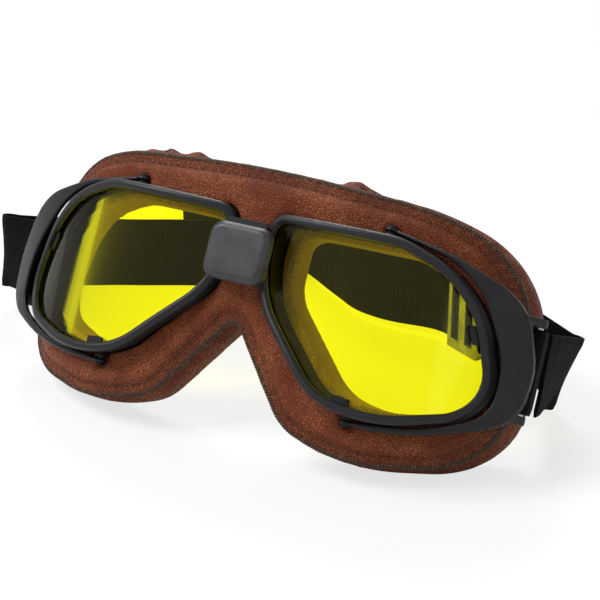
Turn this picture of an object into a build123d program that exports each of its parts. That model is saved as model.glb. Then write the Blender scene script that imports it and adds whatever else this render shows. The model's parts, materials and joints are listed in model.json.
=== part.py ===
"""Aviator flying goggles, standing as they do on a table.

The goggles lean back on their padded cheeks, with the elastic strap standing on its
edge behind them. Millimetres, +Z up, +X along the width. The origin is the bottom
centre of the whole outline box.

Two planes carry nearly everything. `face` is seen from the front: its X runs along the
width, its Y up the goggles, and its normal towards the viewer. `crown` is seen from
above: its X runs along the width and its Y is the depth behind the lens clips.
"""
import os
from math import cos, hypot, radians, sin, sqrt

from build123d import *

os.makedirs("parts", exist_ok=True)

# Stance on the table
lean_angle = 29.6
mid_x = 15.7607
face_y = -78.2336
face_z = 27.7243
foot_flat = 0.5

# Lens opening of one eye, seen from the front
lens_width = 77.5
lens_height = 55.4
lens_inner_x = 7.8
lens_low_z = -2.4
lens_thickness = 2.0
eye_radius = 77.0
eye_centre_x = 33.0
eye_front = -5.0

# Rim, lens seat and eye frame
rim_width = 3.1
rim_front = 3.0
rim_bevel = 0.9
lens_lap = 1.7
seat_clearance = 0.2
flange_thickness = 0.9
frame_gap = 0.3
frame_wall = 1.7
frame_depth = 10.0

# Clips on the edge of the lens
clip_width = 6.0
clip_reach = 2.2
clip_thickness = 1.2
clip_round = 0.5
low_clip_x = 46.5
side_clip_z = 31.0

# Nose bridge
cover_width = 22.6
cover_height = 19.5
cover_low_z = 29.8
cover_depth = 4.7
cover_gap = 0.3
cover_bevel = 1.6
cover_corner = 4.5
plate_width = 15.4
plate_thickness = 1.4
plate_peep = 1.8
web_gap = 0.3
pad_gap = 0.2
bridge_pin_radius = 0.7
bridge_pin_spacing = 8.0
bridge_pin_edge = 1.0
bridge_pin_low = 2.5
bridge_pin_sink = 1.6

# Yoke and its pivots
yoke_radius = 79.0
yoke_front = 1.5
yoke_thickness = 2.6
yoke_width = 8.0
yoke_gap = 2.7
yoke_bevel = 0.5
yoke_rise = 4.6
yoke_drop = 3.0
tip_height = 1.2
tip_radius = 2.2
tip_round = 0.58
pivot_x = 47.0
pivot_radius = 0.8
pivot_clearance = 0.08
shoulder_radius = 1.8
shoulder_sink = 0.6
rivet_radius = 1.6
rivet_height = 0.7
running_gap = 0.1
shoulder_gap = 0.5

# Strap pins on the yokes
pin_height = 24.0
pin_radius = 1.5
pin_clearance = 0.15
pin_gap = 0.5
lug_thickness = 3.0
lug_wall = 1.1
lug_gap = 0.6
lug_lean = 3.5
lug_root = 1.2

# Padded roll
pad_side = 6.7
pad_over = 17.3
pad_under = 18.0
pad_bow = 32.0
pad_front = -0.5
pad_depth = 22.0
pad_bevel = 3.5
pad_rear_bevel = 5.0
pad_swell = 0.8
pad_swell_bevel = 2.0
leather = 1.5
foam_clearance = 0.1
seam_depth = 3.4
welt_width = 2.2
welt_thickness = 2.4
eye_lining = 1.2
tuck_gap = 0.5

# Elastic strap and its slider
strap_width = 28.0
strap_thickness = 1.5
strap_reach = 130.0
loop_tail = 5.0
strap_gap = 1.2
tail_length = 46.0
fold_lift = 9.0
fold_lean = 11.0
tail_gap = 0.15
slider_length = 17.0
slider_wall = 2.4
slider_plate = 1.4
slider_bar = 3.6
slider_clearance = 0.35
slider_start = 6.5

# One overrun for all through cuts
overrun = 3.0

cos_lean = cos(radians(lean_angle))
sin_lean = sin(radians(lean_angle))
face_origin = (mid_x, face_y, face_z)
face = Plane(origin=face_origin, x_dir=(1, 0, 0), z_dir=(0, -cos_lean, sin_lean))
crown = Plane(origin=face_origin, x_dir=(1, 0, 0), z_dir=(0, sin_lean, cos_lean))
side = Plane(origin=face_origin, x_dir=(0, cos_lean, -sin_lean), z_dir=(1, 0, 0))
depth_axis = Axis(face_origin, (0, cos_lean, -sin_lean))
up_axis = Axis(face_origin, (0, sin_lean, cos_lean))

lens_outer_x = lens_inner_x + lens_width
lens_top_z = lens_low_z + lens_height
pad_half_width = lens_outer_x + pad_side
pad_height = pad_under + lens_height + pad_over
reach = 2 * pad_half_width
yoke_inner_x = lens_outer_x + rim_width + yoke_gap
yoke_outer_x = yoke_inner_x + yoke_width
inner_low_z = lens_low_z - yoke_drop
inner_height = yoke_drop + lens_height + yoke_rise
outer_low_z = inner_low_z - tip_height
outer_height = inner_height + 2 * tip_height

# Outlines as corners with a radius each. Places are shares of the width and height
# of what they outline, and radii are shares of its height.
lens_corner_shares = [
    (0.02, 0.99), (0.59, 1.0), (0.905, 0.847), (1.0, 0.374),
    (0.982, 0.159), (0.631, 0), (0.383, 0.07), (0, 0.608),
]
lens_radius_shares = [0.07, 0.36, 0.57, 0.267, 0.244, 0.8, 0.44, 0.57]
eye_corner_shares = [
    (0.075, 0.965), (0.59, 0.975), (0.885, 0.83), (0.98, 0.376),
    (0.962, 0.18), (0.63, 0.025), (0.395, 0.1), (0.075, 0.6),
]
eye_radius_shares = [0.1, 0.36, 0.5, 0.267, 0.22, 0.75, 0.36, 0.3]
pad_corner_shares = [
    (0, 1.0), (0.64, 0.972), (0.975, 0.869), (1.0, 0.551),
    (0.995, 0.105), (0.51, 0), (0.263, 0.086), (0.018, 0.408),
]
pad_radius_shares = [5.0, 0.875, 0.348, 1.0, 0.287, 0.62, 0.217, 0.036]
pad_bow_shares = [(0.43, 0.083), (1.06, 1.05)]
outer_corner_shares = [
    (0, 1.0), (0.418, 0.937), (0.894, 0.798), (1.0, 0.482),
    (0.977, 0.195), (0.395, -0.008), (0, 0),
]
outer_radius_shares = [0.73, 0.308, 0.489, 0.224, 1.24]
inner_corner_shares = [
    (0, 0), (0.562, 0.05), (0.962, 0.182), (1.0, 0.465),
    (0.753, 0.804), (0.519, 0.919), (0, 1.0),
]
inner_radius_shares = [0.876, 0.177, 0.567, 0.408, 0.346]


def bow(offset_x, radius):
    """Depth by which a round face falls back at a distance from its crest."""
    return radius - sqrt(radius**2 - offset_x**2)


def placed(shares, low_x, width, low_z, height):
    """Outline corners from their shares of a width and a height."""
    return [(low_x + across * width, low_z + up * height) for across, up in shares]


def outline(corners, radii, grow=0):
    """A closed front outline of straight runs and arcs, grown or shrunk."""
    with BuildSketch(face) as profile:
        with BuildLine():
            FilletPolyline(*corners, radius=radii, close=True)
        make_face()
        if grow:
            offset(amount=grow, kind=Kind.ARC)
    return profile.sketch


def lens_outline(grow=0):
    """The right lens opening, seen from the front."""
    corners = placed(lens_corner_shares, lens_inner_x, lens_width, lens_low_z, lens_height)
    return outline(corners, [share * lens_height for share in lens_radius_shares], grow)


def eye_outline(grow=0):
    """The opening behind the right lens, inside the padded roll."""
    corners = placed(eye_corner_shares, lens_inner_x, lens_width, lens_low_z, lens_height)
    return outline(corners, [share * lens_height for share in eye_radius_shares], grow)


def pad_outline(grow=0):
    """The padded roll with its welt, seen from the front, nose notch included."""
    low_z = lens_low_z - pad_under
    right = placed(pad_corner_shares, 0, pad_half_width, low_z, pad_height)
    left = [(-x, z) for x, z in right[:0:-1]]
    radii = [share * pad_height for share in pad_radius_shares]
    return outline(right + left, radii + radii[:0:-1], grow)


def yoke_outline(grow=0, open_middle=True):
    """The right yoke seen from the front, or all that lies within its outer edge."""
    corners = placed(outer_corner_shares, pivot_x, yoke_outer_x - pivot_x, outer_low_z, outer_height)
    rounds = [share * outer_height for share in outer_radius_shares]
    radii = [tip_round] + rounds + [tip_round]
    if open_middle:
        inner = placed(inner_corner_shares, pivot_x, yoke_inner_x - pivot_x, inner_low_z, inner_height)
        corners = corners + inner
        rounds = [share * inner_height for share in inner_radius_shares]
        radii = radii + [tip_round] + rounds + [tip_round]
    return outline(corners, radii, grow)


def slab(near, far):
    """Plan of a layer between two open curves that run the same way."""
    with BuildSketch(crown.offset(-reach)) as plan:
        with BuildLine():
            front_edge = near()
            rear_edge = far()
            Line(front_edge @ 0, rear_edge @ 0)
            Line(front_edge @ 1, rear_edge @ 1)
        make_face()
    return plan.sketch


def arc_slab(front, back, centre_x, low_x, high_x, radius):
    """Plan of a layer between two depths of one round face."""

    def crest(depth):
        return ThreePointArc(
            (low_x, depth + bow(low_x - centre_x, radius)),
            (centre_x, depth),
            (high_x, depth + bow(high_x - centre_x, radius)),
        )

    return slab(lambda: crest(front), lambda: crest(back))


def eye_slab(front, back):
    """Plan of a layer that follows the lens, between two depths behind its face."""
    return arc_slab(
        eye_front + front, eye_front + back, eye_centre_x, 0, pad_half_width, eye_radius
    )


def yoke_slab(front, back):
    """Plan of a layer that follows the yoke, between two depths behind its face."""
    return arc_slab(
        yoke_front + front,
        yoke_front + back,
        pivot_x,
        pivot_x - 2 * tip_radius,
        pad_half_width + yoke_width,
        yoke_radius,
    )


def pad_slab(front, back):
    """Plan of a layer of the padded roll, which bows back round the face."""
    cheek, temple = [(across * pad_half_width, deep * pad_bow) for across, deep in pad_bow_shares]

    def crest(depth):
        start = pad_front + depth
        middle = ThreePointArc((-cheek[0], start + cheek[1]), (0, start), (cheek[0], start + cheek[1]))
        right = TangentArc((cheek[0], start + cheek[1]), (temple[0], start + temple[1]), tangent=middle % 1)
        left = TangentArc((-cheek[0], start + cheek[1]), (-temple[0], start + temple[1]), tangent=-(middle % 0))
        return left @ 1, right @ 1

    with BuildSketch(crown.offset(-reach)) as plan:
        with BuildLine():
            near_ends = crest(front)
            far_ends = crest(back)
            Line(near_ends[0], far_ends[0])
            Line(near_ends[1], far_ends[1])
        make_face()
    return plan.sketch


def through(profile, mode=Mode.ADD):
    """Carry a front outline right through the depth of the goggles."""
    extrude(profile, amount=pad_height, both=True, mode=mode)


def keep_layer(plan):
    """Keep only what lies in a layer drawn in plan."""
    extrude(plan, amount=2 * reach, mode=Mode.INTERSECT)


def top_edge(layer_face):
    """The uppermost edge of a face, from which a bevel runs on round its outline."""
    return layer_face.edges().sort_by(up_axis)[-1]


# Bridge pins: two cross pins that join the bridge to both rims
rim_inner_x = lens_inner_x - rim_width
web_back = pad_front - pad_gap
web_low_z = cover_low_z + cover_corner
with BuildPart() as bridge_pins:
    with BuildSketch(side):
        with Locations((web_back - bridge_pin_edge, web_low_z + bridge_pin_low)):
            Circle(bridge_pin_radius)
        with Locations((web_back - bridge_pin_edge, web_low_z + bridge_pin_low + bridge_pin_spacing)):
            Circle(bridge_pin_radius)
    extrude(amount=rim_inner_x + bridge_pin_sink, both=True)

# Right rim: the bezel, with the rebate that holds the lens
lens_back = lens_thickness
with BuildPart() as lens_seat:
    through(lens_outline(lens_lap + seat_clearance))
    keep_layer(eye_slab(0, lens_back))

with BuildPart() as right_rim:
    through(lens_outline(rim_width))
    through(lens_outline(), mode=Mode.SUBTRACT)
    keep_layer(eye_slab(-rim_front, lens_back))
    lip = right_rim.faces().group_by(SortBy.AREA)[-1].sort_by(depth_axis)[0]
    chamfer(lip.edges(), rim_bevel)
    add(lens_seat.part, mode=Mode.SUBTRACT)
    add(bridge_pins.part, mode=Mode.SUBTRACT)

# Right lens: a curved pane that fills the rebate
with BuildPart() as right_lens:
    through(lens_outline(lens_lap))
    keep_layer(eye_slab(0, lens_back))

# Right eye frame: a seat behind rim and lens, and the skirt that runs back into the
# padding
frame_back = lens_back + frame_depth
skirt_out = frame_gap + frame_wall
with BuildPart() as seat_ring:
    through(lens_outline(rim_width))
    keep_layer(eye_slab(lens_back, lens_back + flange_thickness))

with BuildPart() as right_eye_frame:
    through(lens_outline(skirt_out))
    keep_layer(eye_slab(lens_back, frame_back))
    add(seat_ring.part)
    through(lens_outline(frame_gap), mode=Mode.SUBTRACT)

# Right lens clips: two tabs on the lens against the rim
with BuildPart() as right_lens_clips:
    with BuildSketch(face):
        with Locations((low_clip_x, lens_low_z)):
            RectangleRounded(clip_width, 4 * clip_reach, clip_round)
        with Locations((lens_outer_x - clip_reach, side_clip_z)):
            RectangleRounded(4 * clip_reach, clip_width, clip_round)
    extrude(amount=pad_height, both=True)
    through(lens_outline(), mode=Mode.INTERSECT)
    through(lens_outline(-clip_reach), mode=Mode.SUBTRACT)
    keep_layer(eye_slab(-clip_thickness, 0))

# Bridge plate: a web between the two rims that carries a front plate for the cover
web_half = rim_inner_x - web_gap
cover_back = eye_front - rim_front - cover_gap + bow(eye_centre_x - cover_width / 2, eye_radius)
cover_top_z = cover_low_z + cover_height
plate_height = cover_top_z + plate_peep - web_low_z
plate_middle = web_low_z + plate_height / 2
with BuildPart() as bridge_plate:
    with BuildSketch(face.offset(-web_back)):
        with Locations((0, plate_middle)):
            RectangleRounded(2 * web_half, plate_height, pin_radius)
    extrude(amount=web_back - cover_back)
    with BuildSketch(face.offset(-cover_back)):
        with Locations((0, plate_middle)):
            RectangleRounded(plate_width, plate_height, pin_radius)
    extrude(amount=plate_thickness)
    add(bridge_pins.part, mode=Mode.SUBTRACT)

# Bridge cover: a pillow that hides the plate, hollow behind and open at its top
with BuildPart() as cover_hollow:
    with BuildSketch(face.offset(-cover_back)):
        with Locations((0, plate_middle)):
            Rectangle(plate_width + 2 * seat_clearance, plate_height + 2 * seat_clearance)
    extrude(amount=plate_thickness + seat_clearance)

with BuildPart() as bridge_cover:
    with BuildSketch(face.offset(-cover_back)):
        with Locations((0, cover_low_z + cover_height / 2)):
            RectangleRounded(cover_width, cover_height, cover_corner)
    extrude(amount=cover_depth)
    chamfer(bridge_cover.faces().sort_by(depth_axis)[0].edges(), cover_bevel)
    add(cover_hollow.part, mode=Mode.SUBTRACT)

# Right strap pin and the two lugs that hold it behind the yoke
loop_radius = pin_radius + pin_clearance + strap_thickness
pin_x = pad_half_width + pin_gap + loop_radius
pin_depth = (
    yoke_front
    + yoke_thickness
    + bow(pin_x - pivot_x, yoke_radius)
    + loop_radius
    + pin_radius
    + lug_gap
)
lug_root_x = pin_x - lug_lean
lug_root_depth = yoke_front + yoke_thickness / 2 + bow(lug_root_x - pivot_x, yoke_radius)
lug_inside = strap_width / 2 + lug_gap
pin_half = lug_inside + lug_thickness
with BuildPart() as right_strap_pin:
    with BuildSketch(crown.offset(pin_height)):
        with Locations((pin_x, pin_depth)):
            Circle(pin_radius)
    extrude(amount=pin_half, both=True)

# Right yoke: a curved plate bent to a C, with an eye at each tip and the lugs behind
pivot_depth = yoke_front + yoke_thickness / 2
with BuildPart() as lugs:
    with BuildSketch(crown.offset(pin_height)):
        with Locations((pin_x, pin_depth)):
            Circle(pin_radius + lug_wall)
        with Locations((lug_root_x, lug_root_depth)):
            Circle(lug_root)
        make_hull()
    extrude(amount=pin_half, both=True)
    with BuildSketch(crown.offset(pin_height)):
        with Locations((pin_x, pin_depth)):
            Rectangle(reach, reach)
    extrude(amount=lug_inside, both=True, mode=Mode.SUBTRACT)

with BuildPart() as right_yoke:
    through(yoke_outline())
    keep_layer(yoke_slab(0, yoke_thickness))
    yoke_face = right_yoke.faces().group_by(SortBy.AREA)[-1].sort_by(depth_axis)[0]
    chamfer(top_edge(yoke_face), yoke_bevel)
    for tip_z in (outer_low_z, outer_low_z + outer_height - tip_height):
        with BuildSketch(crown.offset(tip_z)):
            with Locations((pivot_x, pivot_depth)):
                Circle(tip_radius)
        extrude(amount=tip_height)
    with BuildSketch(crown):
        with Locations((pivot_x, pivot_depth)):
            Circle(pivot_radius + pivot_clearance)
    extrude(amount=reach, both=True, mode=Mode.SUBTRACT)
    add(lugs.part)
    add(right_strap_pin.part, mode=Mode.SUBTRACT)

# Right yoke pivots: a shouldered rivet from the eye frame through each tip
top_skirt_z = lens_top_z + skirt_out
low_skirt_z = lens_low_z - skirt_out
top_tip_z = outer_low_z + outer_height
with BuildPart() as right_yoke_pivots:
    for start_z, tip_face_z, out in (
        (top_skirt_z, top_tip_z - tip_height, 1),
        (low_skirt_z, outer_low_z + tip_height, -1),
    ):
        for round_radius, low, high in (
            (shoulder_radius, start_z - out * shoulder_sink, tip_face_z - out * shoulder_gap),
            (pivot_radius, tip_face_z - out * shoulder_gap, tip_face_z + out * (tip_height + running_gap)),
            (
                rivet_radius,
                tip_face_z + out * (tip_height + running_gap),
                tip_face_z + out * (tip_height + running_gap + rivet_height),
            ),
        ):
            with BuildSketch(crown.offset(low)):
                with Locations((pivot_x, pivot_depth)):
                    Circle(round_radius)
            extrude(amount=high - low)
    with BuildPart(mode=Mode.PRIVATE) as skirt_solid:
        through(lens_outline(skirt_out))
    add(skirt_solid.part, mode=Mode.SUBTRACT)

# Right strap loop: the webbing's end round the pin, sewn shut behind it
loop_end = loop_radius + loop_tail
with BuildPart() as right_strap_loop:
    with BuildSketch(crown.offset(pin_height)):
        with Locations((pin_x, pin_depth)):
            Circle(loop_radius)
            Rectangle(2 * strap_thickness, loop_end, align=(Align.CENTER, Align.MIN))
            Circle(pin_radius + pin_clearance, mode=Mode.SUBTRACT)
    extrude(amount=strap_width / 2, both=True)

# Padded roll: its outer form and the foam form a leather's thickness inside it
def yoke_relief(grow):
    """Room in the padding for the yoke's tips and rivets."""
    low_z = outer_low_z - running_gap - rivet_height - tuck_gap - grow
    high_z = top_tip_z + running_gap + rivet_height + tuck_gap + grow
    with BuildPart() as relief:
        through(yoke_outline(tuck_gap + grow, open_middle=False))
        keep_layer(yoke_slab(-pad_depth, yoke_thickness + tuck_gap + grow))
        with BuildSketch(crown.offset(low_z)):
            with Locations((pivot_x, pivot_depth)):
                Circle(tip_radius + tuck_gap + grow)
        extrude(amount=high_z - low_z)
    return relief.part


before = -pad_depth
behind = 2 * pad_depth
welt_front = seam_depth - welt_thickness / 2
welt_back = seam_depth + welt_thickness / 2
bevel_loss = 2 - sqrt(2)
neck_depth = welt_back + 2 * leather
frame_room = skirt_out + foam_clearance
rim_room = rim_width + seat_clearance
rim_room_back = lens_back + flange_thickness + seat_clearance


def crest_form(inset, back):
    """The crowned front of the roll, shrunk by a skin, down to a depth."""
    with BuildPart() as form:
        through(pad_outline(-welt_width - inset))
        keep_layer(pad_slab(inset, pad_depth / 2))
        chamfer(top_edge(form.faces().sort_by(depth_axis)[0]), pad_bevel - inset * bevel_loss)
        keep_layer(pad_slab(before, back))
        relief = yoke_relief(inset)
        add(relief, mode=Mode.SUBTRACT)
        mirror(relief, about=side, mode=Mode.SUBTRACT)
    return form.part


def rear_form(inset):
    """The fuller back of the roll, shrunk by a skin."""
    with BuildPart() as form:
        through(pad_outline(pad_swell - inset))
        keep_layer(pad_slab(welt_back + inset, pad_depth - inset))
        chamfer(form.faces().sort_by(depth_axis)[-1].edges(), pad_rear_bevel - inset * bevel_loss)
        chamfer(form.faces().sort_by(depth_axis)[0].edges(), pad_swell_bevel - inset * bevel_loss)
    return form.part


rear_skin = rear_form(0)
rear_core = rear_form(leather)
crest_core = crest_form(leather, neck_depth)
with BuildPart() as roll_room:
    add(rear_core)
    add(crest_core)
with BuildPart() as roll_neck:
    through(pad_outline(-2 * leather))
    keep_layer(pad_slab(welt_back - leather, neck_depth))

table_z = rear_skin.bounding_box().min.Z + foot_flat
table = Plane((0, 0, table_z))
with BuildPart() as below_table:
    with BuildSketch(table):
        Rectangle(2 * reach, 2 * reach)
    extrude(amount=-reach)


def both_eyes(profile, plan, mode=Mode.SUBTRACT):
    """Cut or add one eye's block on both sides."""
    with BuildPart(mode=Mode.PRIVATE) as block:
        through(profile)
        keep_layer(plan)
    add(block.part, mode=mode)
    mirror(block.part, about=side, mode=mode)


# Front leather: the crowned face of the roll, tucked in round both eye frames
with BuildPart() as leather_front:
    add(crest_form(0, welt_front))
    add(crest_core, mode=Mode.SUBTRACT)
    both_eyes(lens_outline(frame_room), eye_slab(before, frame_back + behind))
    both_eyes(lens_outline(rim_room), eye_slab(before, rim_room_back))
    add(below_table.part, mode=Mode.SUBTRACT)

# Rear leather: the side that lies against the face, open behind both eyes
with BuildPart() as leather_back:
    add(rear_skin)
    add(rear_core, mode=Mode.SUBTRACT)
    add(roll_neck.part, mode=Mode.SUBTRACT)
    both_eyes(eye_outline(), eye_slab(before, frame_back + behind))
    both_eyes(lens_outline(frame_room), eye_slab(before, frame_back))
    add(below_table.part, mode=Mode.SUBTRACT)

# Foam core: fills the roll inside its leathers
with BuildPart() as foam_core:
    add(roll_room.part)
    both_eyes(lens_outline(frame_room + leather), eye_slab(before, frame_back + eye_lining + foam_clearance))
    both_eyes(lens_outline(rim_room + leather), eye_slab(before, rim_room_back + leather))
    both_eyes(eye_outline(eye_lining + foam_clearance), eye_slab(before, frame_back + behind))
    add(below_table.part, mode=Mode.SUBTRACT)

# Seam welt: the thick overlocked edge where the two leathers meet
with BuildPart() as seam_welt:
    through(pad_outline())
    through(pad_outline(-welt_width - leather), mode=Mode.SUBTRACT)
    keep_layer(pad_slab(welt_front, welt_back))
    add(below_table.part, mode=Mode.SUBTRACT)

# Right eye lining: a leather shelf behind the frame and the wall of the eye opening
with BuildPart() as right_eye_lining:
    through(lens_outline(skirt_out))
    keep_layer(eye_slab(frame_back, frame_back + eye_lining))
    with BuildPart(mode=Mode.PRIVATE) as lining_wall:
        through(eye_outline(eye_lining))
        keep_layer(eye_slab(frame_back, frame_back + behind))
        keep_layer(pad_slab(0, pad_depth - leather))
        add(roll_room.part, mode=Mode.INTERSECT)
    add(lining_wall.part)
    through(eye_outline(), mode=Mode.SUBTRACT)

# Strap: one band of elastic webbing standing on its edge, folded behind the goggles.
# Places are shares of the strap's reach either side of the middle.
strap_shares = [
    (-0.769, 0.723), (-0.362, 0.935), (-0.438, 1.085), (-0.815, 1.138), (-0.746, 1.254),
    (-0.615, 1.254), (-0.369, 1.123), (0, 0.85), (0.238, 0.868),
]
strap_radius_shares = [0.077, 0.138, 0.054, 0.069, 0.077, 0.46, 0.31, 0.154]
run_end_shares = (0.615, 0.669)
strap_places = [(across * strap_reach, back * strap_reach) for across, back in strap_shares]
run_end = (run_end_shares[0] * strap_reach, run_end_shares[1] * strap_reach)
run_start = strap_places[-1]
run_length = hypot(run_end[0] - run_start[0], run_end[1] - run_start[1])
run_dir = ((run_end[0] - run_start[0]) / run_length, (run_end[1] - run_start[1]) / run_length)
slider_lift = slider_wall + slider_clearance
band = Plane((mid_x, face_y, table_z))
rise_shares = (-0.35, 0.15)
rise_start_x = rise_shares[0] * strap_reach
rise_end_x = rise_shares[1] * strap_reach


def band_height():
    """Side view of the band: on the table at the left, raised where the slider is."""
    low_x = strap_places[0][0] - overrun
    high_x = run_end[0] + overrun
    with BuildSketch(Plane.XZ) as profile:
        with BuildLine():
            Polyline(
                (mid_x + low_x, table_z),
                (mid_x + rise_start_x, table_z),
                (mid_x + rise_end_x, table_z + slider_lift),
                (mid_x + high_x, table_z + slider_lift),
                (mid_x + high_x, table_z + slider_lift + strap_width),
                (mid_x + rise_end_x, table_z + slider_lift + strap_width),
                (mid_x + rise_start_x, table_z + strap_width),
                (mid_x + low_x, table_z + strap_width),
                close=True,
            )
        make_face()
    return profile.sketch


def cut_of_band(centre, heading, up):
    """Cross-section of the band where it runs along `heading` with its width `up`."""
    across = Vector(*up).cross(Vector(*heading)).normalized()
    plane = Plane(origin=centre, x_dir=across, z_dir=across.cross(Vector(*up)))
    with BuildSketch(plane) as section:
        Rectangle(strap_thickness, strap_width)
    return section.sketch


def heading_of(before_place, after_place):
    """Direction from one plan place to another."""
    return (after_place[0] - before_place[0], after_place[1] - before_place[1], 0)


def half_way(first, second):
    """Heading of the mitre between two headings."""
    mean = Vector(*first).normalized() + Vector(*second).normalized()
    return (mean.X, mean.Y, 0)


def table_place(place, height):
    """A point over a plan place, at a height above the table."""
    return (mid_x + place[0], face_y + place[1], table_z + height)


goggles_up = (0, sin_lean, cos_lean)
tail_depth = pin_depth + loop_end + strap_gap
right_tail = crown.from_local_coords((pin_x, tail_depth, pin_height))
left_tail = crown.from_local_coords((-pin_x, tail_depth, pin_height))
left_tail_place = (left_tail.X - mid_x, left_tail.Y - face_y)
right_tail_place = (right_tail.X - mid_x, right_tail.Y - face_y)
left_fold_share = (-1.0, 0.446)
left_foot_share = (-0.862, 0.669)
right_fold_share = (0.719, 0.608)
left_fold = (left_fold_share[0] * strap_reach, left_fold_share[1] * strap_reach)
left_foot = (left_foot_share[0] * strap_reach, left_foot_share[1] * strap_reach)
right_fold = (right_fold_share[0] * strap_reach, right_fold_share[1] * strap_reach)
middle_z = strap_width / 2

left_run = heading_of(left_tail_place, left_fold)
fold_run = heading_of(left_fold, left_foot)
foot_run = heading_of(left_foot, strap_places[0])
foot_dir = heading_of(strap_places[0], strap_places[1])
right_run = heading_of(run_end, right_fold)
home_run = heading_of(right_fold, right_tail_place)
tail_heading = (0, cos_lean, -sin_lean)
upright = (0, 0, 1)
out_lean = (fold_lean, 0, strap_width)

with BuildPart() as strap:
    with BuildSketch(band):
        with BuildLine():
            FilletPolyline(
                *strap_places, run_end, radius=[share * strap_reach for share in strap_radius_shares]
            )
            offset(amount=strap_thickness / 2, side=Side.BOTH)
        make_face()
    extrude(amount=strap_width + slider_lift)
    extrude(band_height(), amount=2 * reach, both=True, mode=Mode.INTERSECT)
    loft(
        [
            cut_of_band(left_tail, half_way(tail_heading, left_run), goggles_up),
            cut_of_band(table_place(left_fold, middle_z + fold_lift), half_way(left_run, fold_run), upright),
            cut_of_band(table_place(left_foot, middle_z), half_way(fold_run, foot_run), upright),
            cut_of_band(table_place(strap_places[0], middle_z), foot_dir, upright),
        ],
        ruled=True,
    )
    loft(
        [
            cut_of_band(table_place(run_end, slider_lift + middle_z), run_dir + (0,), upright),
            cut_of_band(table_place(right_fold, middle_z), half_way(right_run, home_run), out_lean),
            cut_of_band(right_tail, half_way(home_run, (0, -cos_lean, sin_lean)), goggles_up),
        ],
        ruled=True,
    )

# Strap tail: the free end, doubled back along the straight run through the slider
run_normal = (-run_dir[1], run_dir[0])
run_plane = Plane(
    origin=table_place(run_start, slider_lift),
    x_dir=run_dir + (0,),
    z_dir=upright,
)
with BuildPart() as strap_tail:
    with BuildSketch(run_plane):
        with Locations((slider_start, strap_thickness / 2 + tail_gap)):
            Rectangle(tail_length, strap_thickness, align=(Align.MIN, Align.MIN))
    extrude(amount=strap_width)

# Strap slider: a flat frame round both layers, with a bar across its front window
slider_in = -strap_thickness / 2 - slider_clearance
slider_out = strap_thickness * 3 / 2 + tail_gap + slider_clearance
slider_height = strap_width + 2 * slider_lift
slider_low = Plane(origin=table_place(run_start, 0), x_dir=run_dir + (0,), z_dir=upright)
slider_front = Plane(
    origin=table_place(run_start, 0), x_dir=run_dir + (0,), z_dir=(run_dir[1], -run_dir[0], 0)
)
window = (slider_length - 2 * slider_wall - slider_bar) / 2
with BuildPart() as strap_slider:
    with BuildSketch(slider_low):
        with Locations((slider_start, slider_in - slider_plate)):
            Rectangle(
                slider_length, slider_out - slider_in + 2 * slider_plate, align=(Align.MIN, Align.MIN)
            )
    extrude(amount=slider_height)
    fillet(strap_slider.edges().filter_by(Axis.Z), slider_plate / 2)
    with BuildSketch(slider_low.offset(slider_wall)):
        with Locations((slider_start - overrun, slider_in)):
            Rectangle(slider_length + 2 * overrun, slider_out - slider_in, align=(Align.MIN, Align.MIN))
    extrude(amount=slider_height - 2 * slider_wall, mode=Mode.SUBTRACT)
    with BuildSketch(slider_front):
        for window_start in (slider_wall, slider_wall + window + slider_bar):
            with Locations((slider_start + window_start, slider_height / 2)):
                Rectangle(
                    window, strap_width - slider_wall, align=(Align.MIN, Align.CENTER)
                )
    extrude(amount=reach, both=True, mode=Mode.SUBTRACT)

pieces = {
    "right_rim": right_rim,
    "right_lens": right_lens,
    "right_eye_frame": right_eye_frame,
    "right_lens_clips": right_lens_clips,
    "right_yoke": right_yoke,
    "right_yoke_pivots": right_yoke_pivots,
    "right_strap_pin": right_strap_pin,
    "right_strap_loop": right_strap_loop,
    "right_eye_lining": right_eye_lining,
    "bridge_plate": bridge_plate,
    "bridge_cover": bridge_cover,
    "bridge_pins": bridge_pins,
    "leather_front": leather_front,
    "leather_back": leather_back,
    "foam_core": foam_core,
    "seam_welt": seam_welt,
    "strap": strap,
    "strap_tail": strap_tail,
    "strap_slider": strap_slider,
}
for name, piece in pieces.items():
    piece.part.label = name
    export_step(piece.part, f"parts/{name}.step")
    if name.startswith("right_"):
        left_name = name.replace("right_", "left_")
        with BuildPart() as left_piece:
            mirror(piece.part, about=side)
        left_piece.part.label = left_name
        export_step(left_piece.part, f"parts/{left_name}.step")
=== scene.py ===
import json
import math

import bpy
import numpy as np
from mathutils import Matrix, Vector, kdtree, noise
from mathutils.bvhtree import BVHTree

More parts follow.
